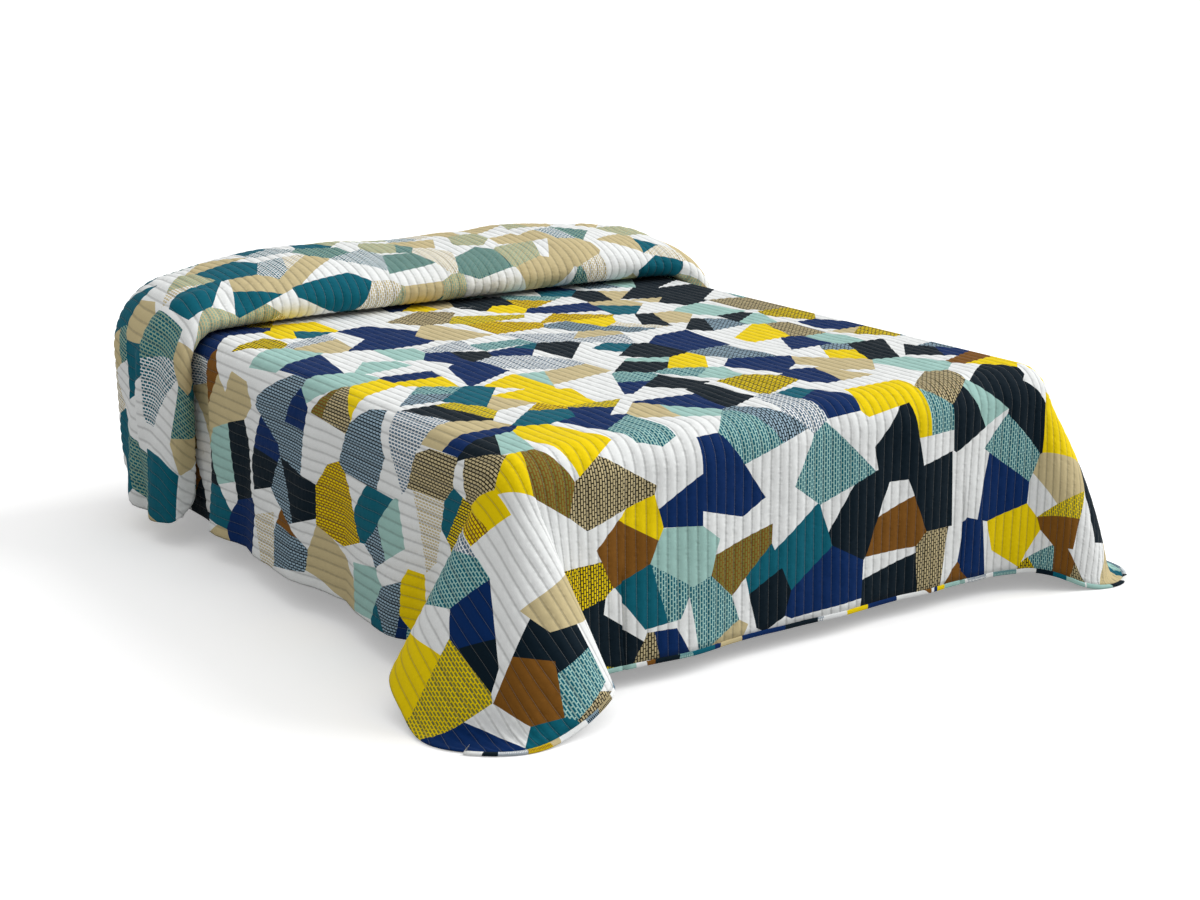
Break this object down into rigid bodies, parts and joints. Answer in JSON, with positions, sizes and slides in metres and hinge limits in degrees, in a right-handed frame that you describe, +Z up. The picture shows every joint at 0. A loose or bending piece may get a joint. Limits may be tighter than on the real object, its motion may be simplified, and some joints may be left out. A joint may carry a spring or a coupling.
{
  "type": "quilted bedspread on a double bed",
  "caption": "Reversible quilted bedspread with a bound edge, falling over a double bed to the floor at the foot corners and turned back over pillows at the head.",
  "frame": {"origin": "on the floor under the middle of the bed, at the middle of the plinth's underside", "axes": "+Z up, -Y towards the foot of the bed, +Y towards the head, X across the bed"},
  "size_m": [1.927, 2.083, 0.6656],
  "materials": {
    "quilted_cotton": "matt quilted cotton, printed on both sides",
    "binding_cotton": "matt printed cotton",
    "mattress_cover": "matt woven cover",
    "base_cover": "matt woven cover",
    "plinth_paint": "matt paint",
    "pillow_cotton": "matt cotton"
  },
  "bodies": {
    "root": {"bedspread": "quilted_cotton", "binding": "binding_cotton", "mattress": "mattress_cover", "base": "base_cover", "plinth": "plinth_paint", "pillow_near": "pillow_cotton", "pillow_far": "pillow_cotton"}
  },
  "joints": []
}
